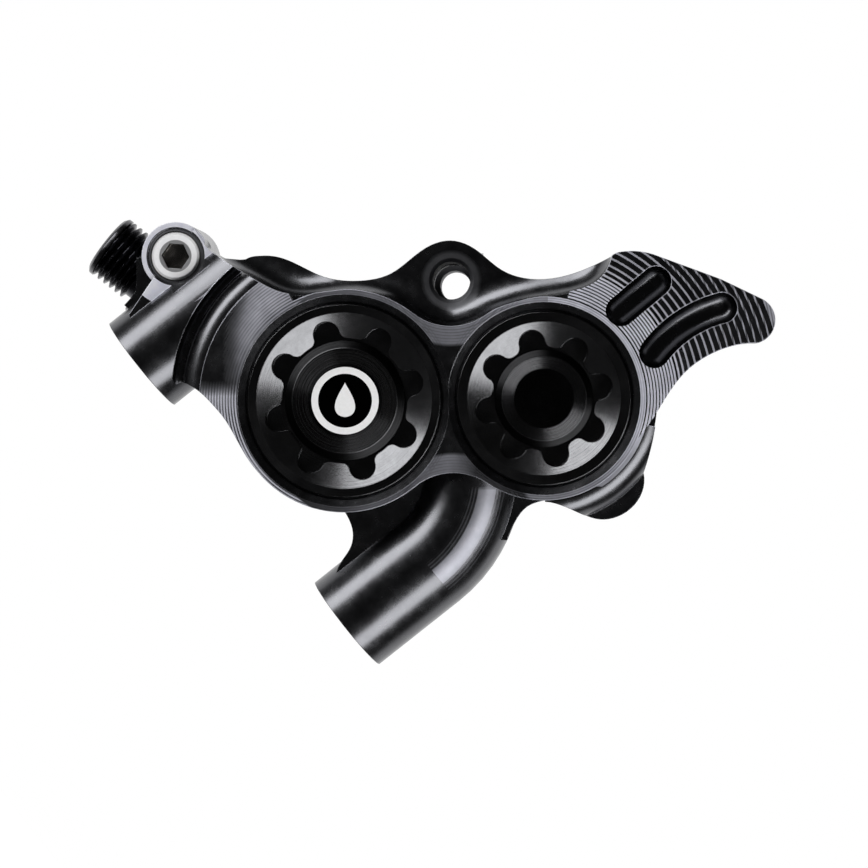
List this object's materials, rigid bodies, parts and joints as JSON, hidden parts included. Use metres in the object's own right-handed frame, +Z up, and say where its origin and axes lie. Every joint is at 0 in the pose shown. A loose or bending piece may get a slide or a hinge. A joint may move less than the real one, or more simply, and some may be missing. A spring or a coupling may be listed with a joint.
{
  "type": "bicycle disc brake caliper",
  "caption": "Two-bore hydraulic disc brake caliper machined from one block, with swept mounting post, ridged fin, pads and pistons that slide to the rotor",
  "frame": {"origin": "midway between the two mounting threads, on the mount face", "axes": "Z up out of the frame tube along the mounting threads, X along the line between the two threads towards the swept post, Y along the pistons from the outboard face to the wheel"},
  "size_m": [0.0563, 0.0372, 0.054],
  "materials": {
    "body": "black anodised, with machined tops",
    "cap": "black anodised, turned",
    "seal": "matte",
    "piston": "satin",
    "backplate": "satin",
    "lining": "rough",
    "spring": "polished",
    "screw": "machined",
    "connector": "black anodised"
  },
  "bodies": {
    "housing": {"caliper_body": "body", "bore_cap_large": "cap", "bore_cap_small": "cap", "cap_seal_large": "seal", "cap_seal_small": "seal", "piston_seal_outer_large": "seal", "piston_seal_outer_small": "seal", "piston_seal_inner_large": "seal", "piston_seal_inner_small": "seal", "pad_spring": "spring", "hose_connector": "connector", "connector_seal": "seal"},
    "outer_pad": {"pad_backplate_outer": "backplate", "pad_lining_outer": "lining"},
    "inner_pad": {"pad_backplate_inner": "backplate", "pad_lining_inner": "lining"},
    "outer_large_piston": {"piston_outer_large": "piston"},
    "outer_small_piston": {"piston_outer_small": "piston"},
    "inner_large_piston": {"piston_inner_large": "piston"},
    "inner_small_piston": {"piston_inner_small": "piston"},
    "bleed_seal": {"bleed_screw_seal": "seal"},
    "bleed": {"bleed_screw": "screw"}
  },
  "joints": [
    {"name": "outer_pad_advance", "type": "slide", "parent": "housing", "child": "outer_pad", "axis": [0, 1, 0], "range_m": [0, 0.0012], "deforming": ["pad_spring"]},
    {"name": "inner_pad_advance", "type": "slide", "parent": "housing", "child": "inner_pad", "axis": [0, -1, 0], "range_m": [0, 0.0012]},
    {"name": "outer_large_piston_stroke", "type": "slide", "parent": "housing", "child": "outer_large_piston", "axis": [0, 1, 0], "range_m": [0, 0.0012]},
    {"name": "outer_small_piston_stroke", "type": "slide", "parent": "housing", "child": "outer_small_piston", "axis": [0, 1, 0], "range_m": [0, 0.0012]},
    {"name": "inner_large_piston_stroke", "type": "slide", "parent": "housing", "child": "inner_large_piston", "axis": [0, -1, 0], "range_m": [0, 0.0012]},
    {"name": "inner_small_piston_stroke", "type": "slide", "parent": "housing", "child": "inner_small_piston", "axis": [0, -1, 0], "range_m": [0, 0.0012]},
    {"name": "bleed_lift", "type": "slide", "parent": "housing", "child": "bleed_seal", "axis": [0, -1, 0], "range_m": [0, 0.0008]},
    {"name": "bleed_turn", "type": "hinge", "parent": "bleed_seal", "child": "bleed", "pos_m": [-0.02325, -0.0032, 0.00978], "axis": [0, -1, 0], "range_deg": [0, 360]}
  ],
  "couplings": [
    {"joint": "inner_pad_advance", "follows": "outer_pad_advance", "ratio": 1},
    {"joint": "outer_large_piston_stroke", "follows": "outer_pad_advance", "ratio": 1},
    {"joint": "outer_small_piston_stroke", "follows": "outer_pad_advance", "ratio": 1},
    {"joint": "inner_large_piston_stroke", "follows": "outer_pad_advance", "ratio": 1},
    {"joint": "inner_small_piston_stroke", "follows": "outer_pad_advance", "ratio": 1},
    {"joint": "bleed_turn", "follows": "bleed_lift", "rad_per_m": 7854}
  ]
}
